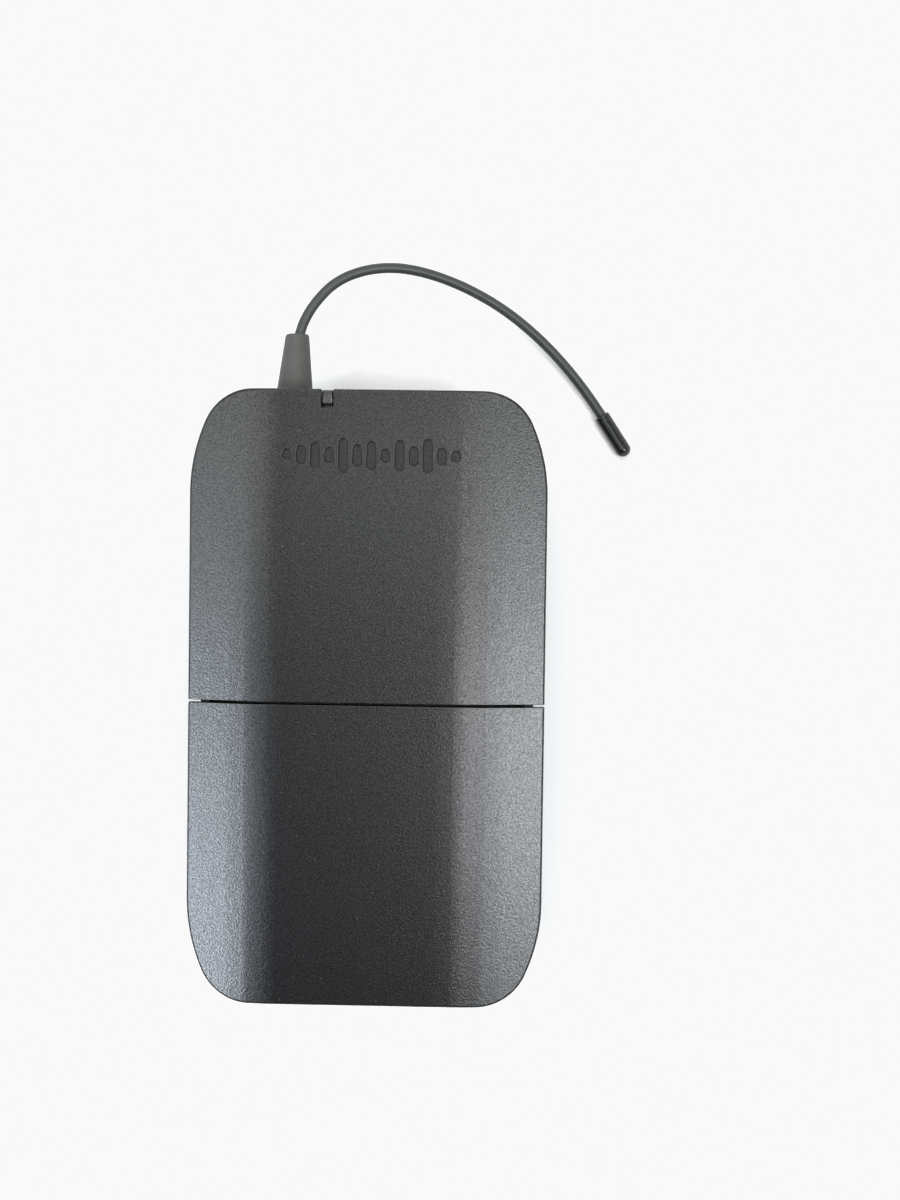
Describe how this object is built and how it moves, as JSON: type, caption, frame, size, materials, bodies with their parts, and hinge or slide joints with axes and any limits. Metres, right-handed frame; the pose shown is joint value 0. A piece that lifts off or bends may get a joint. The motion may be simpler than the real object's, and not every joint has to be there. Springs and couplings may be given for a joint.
{
  "type": "wireless bodypack transmitter",
  "caption": "Flat audio bodypack transmitter with crowned two-part front, hinged battery door, wire belt clip, end-panel switch and socket, and a short bent flexible antenna.",
  "frame": {"origin": "on the surface that the belt clip lies on, under the middle of the pack", "axes": "+Z out of the front face, +Y towards the antenna end, +X to the right seen from the front"},
  "size_m": [0.0796, 0.1343, 0.0282],
  "materials": {
    "housing": "fine spark-eroded texture",
    "case": "fine spark-eroded texture",
    "inner_plastic": "smooth moulded",
    "bright_steel": "bright drawn",
    "spring_steel": "drawn wire",
    "clip_wire": "black coated wire",
    "foam": "closed-cell foam",
    "label": "satin, blank",
    "black_screws": "black zinc",
    "antenna_rubber": "matt moulded rubber",
    "antenna_jacket": "satin jacket",
    "antenna_cap": "glossy moulded",
    "brass": "turned",
    "clear_plastic": "clear moulded",
    "led": "water-clear",
    "switch_plastic": "smooth moulded",
    "nickel": "nickel plated",
    "jack_insulator": "smooth moulded",
    "gold_contact": "gold plated",
    "board": "solder mask",
    "tin": "tinned",
    "chip": "moulded epoxy",
    "can_metal": "drawn can",
    "knob": "smooth moulded",
    "pot_blue": "moulded",
    "button": "smooth moulded",
    "window": "smoked, polished",
    "display_black": "polished",
    "segments": "unlit",
    "cell_sleeve": "printed film, blank"
  },
  "bodies": {
    "root": {"front_cover": "housing", "rear_case": "case", "battery_tray": "inner_plastic", "door_hinge_pin": "bright_steel", "rear_label": "label", "case_screws": "black_screws", "board_screws": "bright_steel", "antenna_boot": "antenna_rubber", "antenna_whip": "antenna_jacket", "antenna_tip_cap": "antenna_cap", "antenna_ferrule": "brass", "antenna_lead": "antenna_jacket", "led_light_pipe": "clear_plastic", "status_led": "led", "power_switch_body": "bright_steel", "input_jack_shell": "nickel", "input_jack_insert": "jack_insulator", "input_jack_pins": "gold_contact", "input_jack_nut": "nickel", "main_board": "board", "rf_shield_can": "tin", "board_chips": "chip", "board_capacitors": "can_metal", "crystal": "tin", "gain_pot_body": "pot_blue", "button_switches": "switch_plastic", "display_window": "window", "channel_display": "display_black", "display_segments": "segments", "battery_cells": "cell_sleeve", "battery_ends": "bright_steel", "battery_springs": "nickel", "battery_plates": "nickel", "battery_bridge_plate": "nickel"},
    "door": {"battery_door": "housing", "door_foam_pad": "foam", "latch_spring_left": "spring_steel", "latch_spring_right": "spring_steel"},
    "latch_left": {"latch_left": "case"},
    "latch_right": {"latch_right": "case"},
    "power_switch": {"power_switch_slider": "switch_plastic"},
    "gain_knob": {"gain_knob": "knob"},
    "group_button": {"group_button": "button"},
    "channel_button": {"channel_button": "button"},
    "belt_clip": {"belt_clip": "clip_wire"}
  },
  "joints": [
    {"name": "door_hinge", "type": "hinge", "parent": "root", "child": "door", "pos_m": [0, -0.0528, 0.0222], "axis": [1, 0, 0], "range_deg": [0, 95]},
    {"name": "latch_right_press", "type": "slide", "parent": "door", "child": "latch_right", "axis": [-1, 0, 0], "range_m": [0, 0.0012], "stiffness_N_per_m": 900, "deforming": ["latch_spring_right"]},
    {"name": "latch_left_press", "type": "slide", "parent": "door", "child": "latch_left", "axis": [1, 0, 0], "range_m": [0, 0.0012], "stiffness_N_per_m": 900, "deforming": ["latch_spring_left"]},
    {"name": "power_switch_slide", "type": "slide", "parent": "root", "child": "power_switch", "axis": [1, 0, 0], "range_m": [0, 0.003]},
    {"name": "gain_knob_turn", "type": "hinge", "parent": "root", "child": "gain_knob", "pos_m": [0.015, -0.0098, 0.0205], "axis": [0, 0, 1], "range_deg": [-140, 140]},
    {"name": "group_button_press", "type": "slide", "parent": "root", "child": "group_button", "axis": [0, 0, -1], "range_m": [0, 0.0005], "stiffness_N_per_m": 2000},
    {"name": "channel_button_press", "type": "slide", "parent": "root", "child": "channel_button", "axis": [0, 0, -1], "range_m": [0, 0.0005], "stiffness_N_per_m": 2000},
    {"name": "belt_clip_flex", "type": "hinge", "parent": "root", "child": "belt_clip", "pos_m": [0, 0.034, 0.0122], "axis": [1, 0, 0], "range_deg": [0, 20], "stiffness_Nm_per_rad": 1.5}
  ]
}
